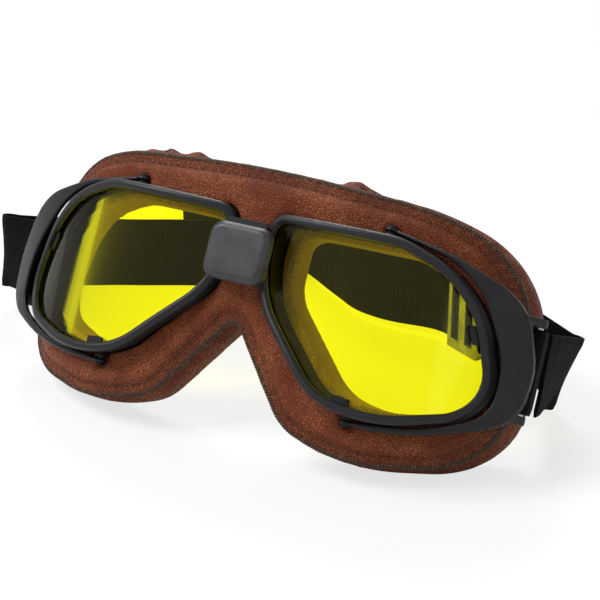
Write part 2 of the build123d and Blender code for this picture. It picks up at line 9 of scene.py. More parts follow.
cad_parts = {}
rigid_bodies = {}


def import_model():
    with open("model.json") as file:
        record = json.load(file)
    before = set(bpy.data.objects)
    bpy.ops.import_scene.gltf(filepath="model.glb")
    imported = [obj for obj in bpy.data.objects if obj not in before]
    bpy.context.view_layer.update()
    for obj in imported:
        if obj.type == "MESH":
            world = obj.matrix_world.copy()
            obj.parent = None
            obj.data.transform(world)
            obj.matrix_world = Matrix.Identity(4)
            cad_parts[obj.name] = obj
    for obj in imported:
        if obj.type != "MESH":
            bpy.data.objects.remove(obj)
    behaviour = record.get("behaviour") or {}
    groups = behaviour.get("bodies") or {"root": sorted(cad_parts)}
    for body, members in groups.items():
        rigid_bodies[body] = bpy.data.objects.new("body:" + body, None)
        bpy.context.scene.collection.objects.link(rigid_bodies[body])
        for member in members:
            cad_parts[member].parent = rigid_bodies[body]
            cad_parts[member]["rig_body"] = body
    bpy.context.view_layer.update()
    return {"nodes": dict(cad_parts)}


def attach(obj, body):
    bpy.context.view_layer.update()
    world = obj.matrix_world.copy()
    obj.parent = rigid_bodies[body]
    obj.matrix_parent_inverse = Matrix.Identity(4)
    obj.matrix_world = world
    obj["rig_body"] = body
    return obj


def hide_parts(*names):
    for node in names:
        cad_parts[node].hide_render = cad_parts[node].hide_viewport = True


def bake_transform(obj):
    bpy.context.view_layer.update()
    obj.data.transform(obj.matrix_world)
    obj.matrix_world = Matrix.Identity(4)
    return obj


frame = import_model()
bpy.ops.object.select_all(action="DESELECT")

# Camera: a long lens looking down on the goggles from the front right
face_middle = Vector((0.0157607, -0.0782336, 0.0277243))
bpy.ops.object.camera_add(
    location=face_middle + Vector((0.2972, -0.5129, 0.3019)),
    rotation=(math.radians(65.07), math.radians(-0.435), math.radians(27.72)),
)
camera = bpy.context.object
camera.data.lens = 120.3
camera.data.sensor_width = 36
camera.data.clip_start = 0.01
bpy.context.scene.camera = camera


# Table: a plain white paper sweep under soft daylight from the upper left.
# The socket class below wraps node outputs, so that patterns read as sums.
class Strand:
    """One output socket of a material, on which sums make more nodes."""

    def __init__(self, tree, socket):
        self.tree = tree
        self.socket = socket

    def made(self, kind, settings, links):
        node = self.tree.nodes.new(kind)
        for setting, value in settings.items():
            setattr(node, setting, value)
        for slot, value in links.items():
            if isinstance(value, Strand):
                self.tree.links.new(value.socket, node.inputs[slot])
            else:
                node.inputs[slot].default_value = value
        return node

    def sum_with(self, operation, other, clamp=False):
        settings = {"operation": operation, "use_clamp": clamp}
        node = self.made("ShaderNodeMath", settings, {0: self, 1: other})
        return Strand(self.tree, node.outputs[0])

    def __add__(self, other):
        return self.sum_with("ADD", other)

    def __sub__(self, other):
        return self.sum_with("SUBTRACT", other)

    def __mul__(self, other):
        return self.sum_with("MULTIPLY", other)

    def power(self, other):
        return self.sum_with("POWER", other)

    def at_least(self, other):
        return self.sum_with("MAXIMUM", other)

    def sine(self):
        return self.sum_with("SINE", 0.0)

    def step(self, low, high, to_low=0.0, to_high=1.0):
        links = {0: self, 1: low, 2: high, 3: to_low, 4: to_high}
        node = self.made("ShaderNodeMapRange", {"interpolation_type": "SMOOTHSTEP"}, links)
        return Strand(self.tree, node.outputs[0])

    def cloud(self, scale, detail=3.0, roughness=0.55):
        links = {"Vector": self, "Scale": scale, "Detail": detail, "Roughness": roughness}
        return Strand(self.tree, self.made("ShaderNodeTexNoise", {}, links).outputs["Fac"])

    def cells(self, scale, feature="F1", spread=1.0):
        links = {"Vector": self, "Scale": scale, "Randomness": spread}
        node = self.made("ShaderNodeTexVoronoi", {"feature": feature}, links)
        return Strand(self.tree, node.outputs["Distance"])

    def tint(self, dark, light):
        links = {0: self, 6: (*dark, 1), 7: (*light, 1)}
        node = self.made("ShaderNodeMix", {"data_type": "RGBA"}, links)
        return Strand(self.tree, node.outputs[2])

    def blend_to(self, under, over):
        node = self.made("ShaderNodeMix", {"data_type": "RGBA"}, {0: self, 6: under, 7: over})
        return Strand(self.tree, node.outputs[2])

    def relief(self, height, strength=1.0):
        links = {"Height": self, "Distance": height, "Strength": strength}
        return Strand(self.tree, self.made("ShaderNodeBump", {}, links).outputs[0])

    def part(self, axis):
        node = self.made("ShaderNodeSeparateXYZ", {}, {0: self})
        return Strand(self.tree, node.outputs[axis])


class Finish:
    """A material whose surface is one plain shader with patterns on its sockets."""

    def __init__(self, name, roughness=0.5, specular=0.5, metallic=0.0, sheen=0.0):
        self.material = bpy.data.materials.new(name)
        self.material.use_nodes = True
        self.tree = self.material.node_tree
        self.shader = self.tree.nodes["Principled BSDF"]
        self.shader.inputs["Roughness"].default_value = roughness
        self.shader.inputs["Specular IOR Level"].default_value = specular
        self.shader.inputs["Metallic"].default_value = metallic
        self.shader.inputs["Sheen Weight"].default_value = sheen
        self.place = Strand(self.tree, self.tree.nodes.new("ShaderNodeTexCoord").outputs["Object"])

    def wear(self, **patterns):
        for slot, pattern in patterns.items():
            self.tree.links.new(pattern.socket, self.shader.inputs[slot.replace("_", " ")])
        return self

    def attribute(self, name):
        node = self.tree.nodes.new("ShaderNodeAttribute")
        node.attribute_name = name
        return Strand(self.tree, node.outputs["Fac"])

    def flat_map(self, name):
        node = self.tree.nodes.new("ShaderNodeUVMap")
        node.uv_map = name
        return Strand(self.tree, node.outputs[0])

    def paint(self, *pieces):
        for piece in pieces:
            piece.data.materials.clear()
            piece.data.materials.append(self.material)


def shade(red, green, blue):
    """Linear colour of a colour as it shows on a screen, from 0 to 255."""
    return tuple(
        ((c / 255 + 0.055) / 1.055) ** 2.4 if c > 10 else c / 255 / 12.92 for c in (red, green, blue)
    )


table_width = 6
table_drop = 0.0002
shade_near = 0.025
shade_far = 0.09
shade_kept = 0.72
bpy.ops.mesh.primitive_plane_add(size=table_width, location=(0, 0, -table_drop))
table_top = bpy.context.object
table_top.name = "table_top"
paper = bpy.data.materials.new("white_paper")
paper.use_nodes = True
paper_tree = paper.node_tree
paper_diffuse = paper_tree.nodes["Principled BSDF"]
paper_diffuse.inputs["Roughness"].default_value = 0.9
paper_diffuse.inputs["Specular IOR Level"].default_value = 0.1
paper_diffuse.inputs["Base Color"].default_value = (0.93, 0.93, 0.93, 1)
paper_glow = paper_tree.nodes.new("ShaderNodeEmission")
paper_place = Strand(paper_tree, paper_tree.nodes.new("ShaderNodeTexCoord").outputs["Object"])
across, along = paper_place.part(0), paper_place.part(1)
paper_seen = Strand(paper_tree, paper_tree.nodes.new("ShaderNodeLightPath").outputs["Is Camera Ray"])
paper_edge = (across * across + along * along).step(shade_near, shade_far)
paper_far = paper_edge.at_least(paper_seen * shade_kept)
paper_mix = paper_tree.nodes.new("ShaderNodeMixShader")
paper_tree.links.new(paper_far.socket, paper_mix.inputs[0])
paper_tree.links.new(paper_diffuse.outputs[0], paper_mix.inputs[1])
paper_tree.links.new(paper_glow.outputs[0], paper_mix.inputs[2])
paper_tree.links.new(paper_mix.outputs[0], paper_tree.nodes["Material Output"].inputs["Surface"])
table_top.data.materials.append(paper)

for lamp, place, size, power in (
    ("window_left", (-0.6, -0.45, 0.9), 0.6, 11.0),
    ("window_back", (-0.35, 0.75, 0.85), 0.5, 9.0),
    ("window_right", (0.9, -0.5, 0.7), 0.7, 1.2),
):
    bpy.ops.object.light_add(type="AREA", location=place)
    light = bpy.context.object
    light.name = lamp
    light.data.size = size
    light.data.energy = power
    light.rotation_euler = (-Vector(place)).to_track_quat("-Z", "Y").to_euler()

sky = bpy.data.worlds.new("white_room")
bpy.context.scene.world = sky
sky.use_nodes = True
sky_tree = sky.node_tree
sky_glow = sky_tree.nodes["Background"]
sky_glow.inputs["Color"].default_value = (1, 1, 1, 1)
seen = sky_tree.nodes.new("ShaderNodeLightPath")
by_camera = Strand(sky_tree, seen.outputs["Is Camera Ray"])
by_gloss = Strand(sky_tree, seen.outputs["Is Glossy Ray"])
by_glass = Strand(sky_tree, seen.outputs["Is Transmission Ray"])
room_light = 0.34
room_shine = 0.62
seen_white = by_camera.at_least(by_gloss * room_shine).at_least(by_glass).at_least(room_light)
sky_tree.links.new(seen_white.socket, sky_glow.inputs["Strength"])
bpy.context.scene.view_settings.view_transform = "Standard"

# Padded roll: brown leather glued over soft foam and puckered where it is sewn. Front
# leather, rear leather and the linings of both eyes close round it in one skin.
lean = math.radians(29.6)
face_up = Vector((0, math.sin(lean), math.cos(lean)))
face_back = Vector((0, math.cos(lean), -math.sin(lean)))
face_turn = Matrix(((1, 0, 0), tuple(face_back), tuple(face_up)))
seam_depth = 0.0034
groove_inside = 0.0038


def on_face(across, deep, up):
    """Place in the room of a place given across, behind and up the face."""
    return face_middle + Vector((across, 0, 0)) + face_back * deep + face_up * up


def face_places(mesh):
    """Across, behind and up the face, for every point of a mesh."""
    room = np.empty(len(mesh.vertices) * 3)
    mesh.vertices.foreach_get("co", room)
    return (room.reshape(-1, 3) - np.array(face_middle)) @ np.array(face_turn).T


nose_radius = 0.296
temple_radius = 0.0942
temple_middle = (0.02697, 0.096)
bow_join = 0.03956
bow_rise = 0.0005


def pad_bow(across):
    """How far the padded roll falls back beside the nose."""
    off = np.abs(across)
    nose = nose_radius - np.sqrt(np.maximum(nose_radius**2 - off**2, 0))
    round_left = np.maximum(temple_radius**2 - (off - temple_middle[0]) ** 2, 0.0004)
    temple = temple_middle[1] - np.sqrt(round_left)
    return np.where(off < bow_join, nose, temple) - bow_rise


def eased(value, low, high):
    """A soft step from 0 to 1 between two values."""
    share = np.clip((value - low) / (high - low), 0, 1)
    return share * share * (3 - 2 * share)


roll_skins = ("leather_front", "leather_back", "foam_core", "left_eye_lining", "right_eye_lining")
for skin in (*roll_skins, "seam_welt"):
    layer = bpy.data.objects.new("layer_" + skin, frame["nodes"][skin].data.copy())
    bpy.context.collection.objects.link(layer)
    layer.select_set(True)
    bpy.context.view_layer.objects.active = layer
bpy.ops.object.join()
pad_leather = bpy.context.object
pad_leather.name = "pad_leather"
bpy.ops.object.mode_set(mode="EDIT")
bpy.ops.mesh.select_all(action="SELECT")
bpy.ops.mesh.remove_doubles(threshold=0.000001)
bpy.ops.object.mode_set(mode="OBJECT")
remesh = pad_leather.modifiers.new("skin", "REMESH")
remesh.mode = "VOXEL"
remesh.voxel_size = 0.001
remesh.use_smooth_shade = True
bpy.ops.object.modifier_apply(modifier="skin")
relax = pad_leather.modifiers.new("relax", "SMOOTH")
relax.factor = 0.5
relax.iterations = 11
bpy.ops.object.modifier_apply(modifier="relax")

# the seam line, seen from the front, is where the welt reaches furthest out
welt_mesh = frame["nodes"]["seam_welt"].data
ray_root = np.array((0, 0.04))
ray_count = 1080
seam_gap = 0.00022
welt_places = face_places(welt_mesh)[:, [0, 2]] - ray_root
edge_ends = np.array([tuple(edge.vertices) for edge in welt_mesh.edges])
edge_from, edge_to = welt_places[edge_ends[:, 0]], welt_places[edge_ends[:, 1]]
rays = []
for turn in np.linspace(0, 2 * math.pi, ray_count, endpoint=False):
    ray = np.array((math.cos(turn), math.sin(turn)))
    step = edge_to - edge_from
    over = ray[0] * step[:, 1] - ray[1] * step[:, 0]
    over = np.where(np.abs(over) < 1e-12, 1e-12, over)
    share = -(ray[0] * edge_from[:, 1] - ray[1] * edge_from[:, 0]) / over
    meets = edge_from + step * share[:, None]
    reach = np.where((share >= 0) & (share <= 1), meets @ ray, 0)
    rays.append(ray * reach.max() + ray_root)
rays = np.array(rays + [rays[0]])
run = np.concatenate(([0], np.cumsum(np.linalg.norm(np.diff(rays, axis=0), axis=1))))
seam_length = run[-1]
seam_count = int(seam_length / seam_gap)
seam_run = np.linspace(0, seam_length, seam_count, endpoint=False)
seam_line = np.column_stack([np.interp(seam_run, run, rays[:, axis]) for axis in (0, 1)])
for _ in range(20):
    seam_line = (np.roll(seam_line, 1, 0) + 2 * seam_line + np.roll(seam_line, -1, 0)) / 4
seam_tree = kdtree.KDTree(seam_count)
for number, (x, up) in enumerate(seam_line):
    seam_tree.insert((x, up, 0), number)
seam_tree.balance()
lining_points, lining_faces = [], []
for eye in ("left_eye_lining", "right_eye_lining"):
    eye_mesh = frame["nodes"][eye].data
    start = len(lining_points)
    lining_points += [vertex.co for vertex in eye_mesh.vertices]
    lining_faces += [[index + start for index in face.vertices] for face in eye_mesh.polygons]
linings = BVHTree.FromPolygons(lining_points, lining_faces)

skin_mesh = pad_leather.data
skin_places = face_places(skin_mesh)
behind = skin_places[:, 1] - pad_bow(skin_places[:, 0])
normals = np.empty(len(skin_mesh.vertices) * 3)
skin_mesh.vertices.foreach_get("normal", normals)
normals = normals.reshape(-1, 3)
looks_front = eased(-(normals @ np.array(face_back)), -0.1, 0.35)
inside, seam_at, waves, folds, lined = [], [], [], [], []
for vertex, (x, _, up) in zip(skin_mesh.vertices, skin_places):
    _, number, away = seam_tree.find((x, up, 0))
    along = seam_run[number]
    inside.append(away)
    seam_at.append(along)
    waves.append(noise.noise(vertex.co * 95))
    folds.append(noise.noise(Vector((along * 120, away * 55, 3))))
    near = linings.find_nearest(vertex.co, 0.0011)
    lined.append(1.0 if near[0] is not None else 0.0)
inside, seam_at, waves, folds, lined = map(np.array, (inside, seam_at, waves, folds, lined))
front_side = looks_front * (1 - eased(behind, 0.006, 0.009)) * (1 - lined)
rear_side = eased(behind, 0.0045, 0.0065) * (1 - lined) * eased(0.0125 - behind, 0, 0.006)
near_seam = np.exp(-(((inside - 0.0022) / 0.0042) ** 2))
pull = np.sin(seam_at * 2 * math.pi / 0.0036 + 2.2 * folds)
groove = np.exp(-(((inside - groove_inside) / 0.0007) ** 2))
lift = front_side * (
    0.00014 * near_seam * pull
    + 0.0005 * waves * eased(inside, 0.003, 0.009)
    - 0.0004 * groove
    + 0.00055 * np.exp(-(((inside - 0.0075) / 0.003) ** 2)) * (0.5 + folds)
)
gather = np.sin(seam_at * 2 * math.pi / 0.0096 + 3.5 * folds)
gathers = 0.00075 * np.maximum(gather, -0.35) + 0.0004 * waves
lift += rear_side * gathers * eased(0.012 - inside, 0, 0.008)
# loose rear leather bulges over the seam where it is gathered, at the top of both eyes
behind_seam = eased(behind, 0.003, 0.0048) * (1 - eased(behind, 0.009, 0.014))
behind_seam *= 1 - eased(inside, 0.003, 0.006)
for bulge_x, bulge_half, bulge_lift in (
    (-0.0530, 0.0042, 0.0016),
    (-0.0440, 0.0044, 0.0024),
    (-0.0330, 0.0046, 0.0026),
    (0.0290, 0.0048, 0.0030),
):
    bump = np.exp(-(((skin_places[:, 0] - bulge_x) / bulge_half) ** 2)) * (skin_places[:, 2] > 0.05)
    lift += bump * bulge_lift * behind_seam * (1 - lined)
moved = np.empty(len(skin_mesh.vertices) * 3)
skin_mesh.vertices.foreach_get("co", moved)
moved = moved.reshape(-1, 3) + normals * lift[:, None]
moved[:, 2] = np.maximum(moved[:, 2], 0.00002)
skin_mesh.vertices.foreach_set("co", moved.ravel())
for label, amount in (("lining", lined), ("rear", eased(behind, 0.004, 0.006)), ("seam", near_seam)):
    skin_mesh.attributes.new(label, "FLOAT", "POINT").data.foreach_set("value", amount.astype(np.float32))
skin_mesh.update()

brown_leather = Finish("brown_leather", specular=0.13)
pebbles = brown_leather.place.cells(980, "DISTANCE_TO_EDGE").step(0.0, 0.32)
creases = brown_leather.place.cells(260, "DISTANCE_TO_EDGE").step(0.0, 0.1)
patches = brown_leather.place.cloud(55, 4.0).step(0.3, 0.72)
hide_tone = patches.tint(shade(120, 58, 32), shade(152, 86, 53))
worn_tone = (pebbles * patches).tint(shade(78, 32, 17), shade(174, 103, 67))
leather_tone = (pebbles.step(0, 1, 0.25, 0.75)).blend_to(worn_tone, hide_tone)
# the leather near the seam is blended towards a darker brown: painted shade where it tucks in under the
# seam
seam_painted_shade = brown_leather.attribute("seam").step(0.2, 1.0, 0.0, 0.5).blend_to(
    leather_tone, pebbles.tint(shade(62, 28, 18), shade(112, 62, 42))
)
lining_tone = pebbles.tint(shade(148, 120, 78), shade(186, 160, 118))
finest = brown_leather.place.cloud(420, 2.0)
brown_leather.wear(
    Base_Color=brown_leather.attribute("lining").blend_to(seam_painted_shade, lining_tone),
    Roughness=(pebbles * 0.16 + patches * 0.1).step(0, 0.3, 0.6, 0.44),
    Normal=(pebbles * 0.7 + creases * 0.3 + finest * 0.5).relief(0.00028, 0.8),
)
brown_leather.paint(pad_leather)
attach(pad_leather, "goggles")
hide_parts(*roll_skins)

# Seam: an overlocked edge, wound with dark waxed thread round both leathers. It is a
# rope swept along the seam line, with a groove for each turn of the thread.
thread_pitch = 0.0010
rope_sides = 10
rope_half_width = 0.00105
rope_half_depth = 0.0012
out_turn = np.roll(seam_line, -1, 0) - np.roll(seam_line, 1, 0)
out_turn /= np.linalg.norm(out_turn, axis=1)[:, None]
outward = np.column_stack((out_turn[:, 1], -out_turn[:, 0]))
rope_mid = seam_line - outward * 0.0009
rope_points, rope_map = [], []
for number in range(seam_count):
    turn_share = seam_run[number] / thread_pitch
    for side in range(rope_sides):
        angle = 2 * math.pi * side / rope_sides
        ridge = abs(math.sin(math.pi * turn_share + angle / 2))
        wander = noise.noise(Vector((seam_run[number] * 260, side * 0.7, 0)))
        swell = 0.8 + 0.34 * ridge**0.8 + 0.12 * wander
        x, up = rope_mid[number] + outward[number] * rope_half_width * swell * math.cos(angle)
        deep = float(pad_bow(x)) + seam_depth + rope_half_depth * swell * math.sin(angle)
        spot = on_face(x, deep, up)
        spot.z = max(spot.z, 0.00002)
        rope_points.append(spot)
        rope_map.append(ridge)
rope_faces = [
    (
        number * rope_sides + side,
        number * rope_sides + (side + 1) % rope_sides,
        (number + 1) % seam_count * rope_sides + (side + 1) % rope_sides,
        (number + 1) % seam_count * rope_sides + side,
    )
    for number in range(seam_count)
    for side in range(rope_sides)
]
rope_mesh = bpy.data.meshes.new("seam_rope")
rope_mesh.from_pydata(rope_points, [], rope_faces)
seam_rope = bpy.data.objects.new("seam_rope", rope_mesh)
bpy.context.collection.objects.link(seam_rope)
rope_mesh.attributes.new("ridge", "FLOAT", "POINT").data.foreach_set(
    "value", np.array(rope_map, np.float32)
)
bpy.ops.object.select_all(action="DESELECT")
seam_rope.select_set(True)
bpy.context.view_layer.objects.active = seam_rope
bpy.ops.object.mode_set(mode="EDIT")
bpy.ops.mesh.select_all(action="SELECT")
bpy.ops.mesh.normals_make_consistent(inside=False)
bpy.ops.object.mode_set(mode="OBJECT")
bpy.ops.object.shade_smooth()
waxed_thread = Finish("waxed_thread", specular=0.3)
flecks = waxed_thread.place.cloud(900, 2.0).step(0.56, 0.68)
fibre = waxed_thread.place.cloud(3200, 2.0)
# the thread is darker in the grooves between its turns and lighter on their ridges: painted shade and
# painted highlight that follow the rope's relief
thread_ridge_shading = waxed_thread.attribute("ridge").step(0.15, 0.9).tint(shade(22, 12, 8), shade(72, 46, 30))
waxed_thread.wear(
    Base_Color=(flecks * 0.55).blend_to(thread_ridge_shading, fibre.tint(shade(96, 70, 44), shade(140, 108, 72))),
    Roughness=fibre.step(0.3, 0.7, 0.55, 0.8),
    Normal=fibre.relief(0.0002, 0.6),
)
waxed_thread.paint(seam_rope)
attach(seam_rope, "goggles")
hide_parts("seam_welt")

# Top stitching: a row of waxed stitches sunk in the groove just inside the seam. One
# stitch is modelled as a small rounded bar and copied along the groove.
stitch_length = 0.0017
stitch_radius = 0.00026
stitch_pitch = 0.0026
bpy.ops.mesh.primitive_uv_sphere_add(segments=6, ring_count=5, radius=1)
stitch = bpy.context.object
bpy.ops.object.transform_apply()
bar_points = np.array([tuple(v.co) for v in stitch.data.vertices])
bar_faces = [tuple(face.vertices) for face in stitch.data.polygons]
bpy.data.objects.remove(stitch)
pad_surface = BVHTree.FromPolygons(
    [v.co for v in skin_mesh.vertices], [tuple(f.vertices) for f in skin_mesh.polygons]
)
row_points, row_faces = [], []
for number in range(int(seam_length / stitch_pitch)):
    at = int(number * stitch_pitch / seam_length * seam_count)
    x, up = seam_line[at] - outward[at] * groove_inside
    above = on_face(x, float(pad_bow(x)) - 0.004, up)
    hit, normal, _, away = pad_surface.ray_cast(above, face_back, 0.012)
    if hit is None or hit.z < 0.0012:
        continue
    run_way = Vector((out_turn[at][0], 0, 0)) + face_up * out_turn[at][1]
    run_way = (run_way - normal * run_way.dot(normal)).normalized()
    cross_way = normal.cross(run_way)
    start = len(row_points)
    for along_bar, over_bar, up_bar in bar_points:
        row_points.append(
            hit
            + run_way * along_bar * stitch_length / 2
            + cross_way * over_bar * stitch_radius
            + normal * (up_bar * stitch_radius + 0.00004)
        )
    row_faces += [tuple(index + start for index in face) for face in bar_faces]
row_mesh = bpy.data.meshes.new("groove_stitches")
row_mesh.from_pydata(row_points, [], row_faces)
groove_stitches = bpy.data.objects.new("groove_stitches", row_mesh)
bpy.context.collection.objects.link(groove_stitches)
# the stitches take the thread's painted ridge shading at one fixed, mostly lit level
row_mesh.attributes.new("ridge", "FLOAT", "POINT").data.foreach_set(
    "value", np.full(len(row_points), 0.75, np.float32)
)
waxed_thread.paint(groove_stitches)
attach(groove_stitches, "goggles")

# Eye frames: soft black skirts moulded on the seat behind each lens. They are the
# model's own solids, in a matt rubber with a fine mould texture.
matt_rubber = Finish("matt_rubber", specular=0.18)
rubber_dust = matt_rubber.place.cloud(180, 4.0)
matt_rubber.wear(
    Base_Color=rubber_dust.step(0.35, 0.8).tint(shade(12, 12, 13), shade(24, 24, 26)),
    Roughness=rubber_dust.step(0.3, 0.7, 0.52, 0.7),
    Normal=matt_rubber.place.cloud(1500, 2.0).relief(0.0001, 0.4),
)
matt_rubber.paint(frame["nodes"]["left_eye_frame"], frame["nodes"]["right_eye_frame"])

# Rims: injection-moulded black bezels with a satin spark-eroded face, a little shinier
# in scattered rubbed patches.
def moulded(name, node, grain_size, rounds):
    """The piece's own solid as it leaves its mould, with every edge a little rounded."""
    piece = bpy.data.objects.new(name, frame["nodes"][node].data.copy())
    bpy.context.collection.objects.link(piece)
    bpy.ops.object.select_all(action="DESELECT")
    piece.select_set(True)
    bpy.context.view_layer.objects.active = piece
    bpy.ops.object.mode_set(mode="EDIT")
    bpy.ops.mesh.select_all(action="SELECT")
    bpy.ops.mesh.remove_doubles(threshold=0.000001)
    bpy.ops.object.mode_set(mode="OBJECT")
    skin = piece.modifiers.new("skin", "REMESH")
    skin.mode = "VOXEL"
    skin.voxel_size = grain_size * 1
    skin.use_smooth_shade = True
    bpy.ops.object.modifier_apply(modifier="skin")
    ease = piece.modifiers.new("ease", "SMOOTH")
    ease.factor = 0.5
    ease.iterations = rounds
    bpy.ops.object.modifier_apply(modifier="ease")
    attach(piece, frame["nodes"][node]["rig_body"])
    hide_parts(node)
    return piece


satin_black = Finish("satin_black", specular=0.3)
rub = satin_black.place.cloud(38, 3.0)
spark = satin_black.place.cells(2600)
satin_black.wear(
    Base_Color=rub.step(0.3, 0.75).tint(shade(20, 20, 23), shade(31, 31, 35)),
    Roughness=(rub * 0.7 + spark * 0.3).step(0.2, 0.7, 0.34, 0.47),
    Normal=spark.relief(0.00006, 0.35),
)
for side_name in ("left", "right"):
    bezel = moulded(side_name + "_bezel", side_name + "_rim", 0.00036, 7)
    satin_black.paint(bezel)

# Lenses: curved panes of yellow polycarbonate, clear and glossy, tinted all through so
# that the light that falls through them is yellow too.
yellow_pane = bpy.data.materials.new("yellow_pane")
yellow_pane.use_nodes = True
pane_tree = yellow_pane.node_tree
pane_tree.nodes.remove(pane_tree.nodes["Principled BSDF"])
pane_place = Strand(pane_tree, pane_tree.nodes.new("ShaderNodeTexCoord").outputs["Object"])
pane_clear = pane_tree.nodes.new("ShaderNodeBsdfTransparent")
pane_tint = pane_place.cloud(14, 2.0).tint((1.0, 0.965, 0.030), (1.0, 0.985, 0.055))
pane_tree.links.new(pane_tint.socket, pane_clear.inputs["Color"])
pane_gloss = pane_tree.nodes.new("ShaderNodeBsdfGlossy")
pane_gloss.inputs["Color"].default_value = (1, 1, 0.9, 1)
pane_gloss.inputs["Roughness"].default_value = 0.04
pane_edge = pane_tree.nodes.new("ShaderNodeFresnel")
pane_edge.inputs["IOR"].default_value = 1.28
pane_mix = pane_tree.nodes.new("ShaderNodeMixShader")
pane_tree.links.new(pane_edge.outputs[0], pane_mix.inputs[0])
pane_tree.links.new(pane_clear.outputs[0], pane_mix.inputs[1])
pane_tree.links.new(pane_gloss.outputs[0], pane_mix.inputs[2])
pane_tree.links.new(pane_mix.outputs[0], pane_tree.nodes["Material Output"].inputs["Surface"])
for lens in (frame["nodes"]["left_lens"], frame["nodes"]["right_lens"]):
    lens.data.materials.clear()
    lens.data.materials.append(yellow_pane)

# Lens clips, bridge plate and yoke rivets: small moulded tabs on the lens edge, the web
# between the two rims, and the rivets of both yokes, in a plain dark nylon.
dark_nylon = Finish("dark_nylon", specular=0.25)
flow_marks = dark_nylon.place.cloud(140, 3.0)
dark_nylon.wear(
    Base_Color=flow_marks.step(0.3, 0.75).tint(shade(14, 14, 14), shade(26, 26, 26)),
    Roughness=flow_marks.step(0.3, 0.7, 0.38, 0.55),
    Normal=dark_nylon.place.cloud(1800, 2.0).relief(0.00008, 0.4),
)
dark_nylon.paint(frame["nodes"]["bridge_plate"])
for nylon_node in ("left_lens_clips", "right_lens_clips", "left_yoke_pivots", "right_yoke_pivots"):
    dark_nylon.paint(frame["nodes"][nylon_node])

# Bridge cover: a pillow-shaped cap snapped over the bridge, moulded in a dark warm
# grey. Its corners and its front edge are well rounded, and it bears no mark.
bridge_pillow = moulded("bridge_pillow", "bridge_cover", 0.0004, 16)
warm_grey = Finish("warm_grey", specular=0.4)
finger_shine = warm_grey.place.cloud(120, 3.0)
warm_grey.wear(
    Base_Color=finger_shine.step(0.3, 0.75).tint(shade(44, 42, 45), shade(60, 58, 62)),
    Roughness=finger_shine.step(0.3, 0.7, 0.36, 0.48),
    Normal=warm_grey.place.cells(2400).relief(0.00005, 0.35),
)
warm_grey.paint(bridge_pillow)

# Yokes: broad curved arms, one at each temple, that swing on rivets at their tips and
# carry the strap. They are moulded, with a soft sheen and faint scuffs.
yoke_sheen = Finish("yoke_sheen", specular=0.28)
scuffs = yoke_sheen.place.cloud(60, 5.0, 0.65)
grain = yoke_sheen.place.cells(2100)
yoke_sheen.wear(
    Base_Color=scuffs.step(0.35, 0.75).tint(shade(17, 16, 18), shade(28, 27, 30)),
    Roughness=(scuffs * 0.75 + grain * 0.25).step(0.25, 0.65, 0.3, 0.46),
    Normal=grain.relief(0.00006, 0.35),
)
for side_name in ("left", "right"):
    arm = moulded(side_name + "_yoke_arm", side_name + "_yoke", 0.0004, 5)
    yoke_sheen.paint(arm)

# Strap pins and slider: turned and pressed steel, with a fine brushed grain
# and a little dulled by handling.
bright_steel = Finish("bright_steel", metallic=1.0)
brushing = bright_steel.place.cloud(2400, 3.0)
dulling = bright_steel.place.cloud(240, 3.0)
bright_steel.wear(
    Base_Color=dulling.step(0.3, 0.8).tint((0.34, 0.34, 0.35), (0.60, 0.60, 0.61)),
    Roughness=(brushing * 0.5 + dulling * 0.5).step(0.3, 0.7, 0.24, 0.42),
    Normal=brushing.relief(0.00003, 0.3),
)
steel_nodes = ("left_strap_pin", "right_strap_pin", "bridge_pins", "strap_slider")
bright_steel.paint(*(frame["nodes"][name] for name in steel_nodes))

# Strap: one length of ribbed black elastic, 28 mm wide and 1.5 mm thick, standing on
# its edge in its folds. It is swept along its route in two halves that meet behind.
band_width = 0.028
band_thick = 0.0015
pin_across = 0.09565
tail_back = 0.0421
pin_height = 0.024
plan_route = [
    # across, back, half height above the table, rounding, lean of the upper edge
    (-0.0957, None, None, 0, None),
    (-0.130, 0.058, 0.023, 0.004, (0, 0, 1)),
    (-0.112, 0.087, 0.0142, 0.012, (0, 0, 1)),
    (-0.100, 0.094, 0.0142, 0.010, (0, 0, 1)),
    (-0.0471, 0.1216, 0.0142, 0.010, (0, 0, 1)),
    (-0.0569, 0.1411, 0.0143, 0.018, (0, 0, 1)),
    (-0.106, 0.148, 0.0142, 0.007, (0, 0, 1)),
    (-0.097, 0.163, 0.0142, 0.009, (0, 0, 1)),
    (-0.080, 0.163, 0.0142, 0.010, (0, 0, 1)),
    (-0.048, 0.146, 0.0142, 0.060, (0, 0, 1)),
    (0.0, 0.1105, 0.0162, 0.040, (0, 0, 1)),
    (0.0309, 0.1128, 0.0168, 0.020, (0, 0, 1)),
    (0.080, 0.087, 0.0168, 0.004, (0.05, 0, 1)),
    (0.0935, 0.079, 0.0145, 0.004, (0.366, 0, 0.93)),
    (0.0957, None, None, 0, None),
]


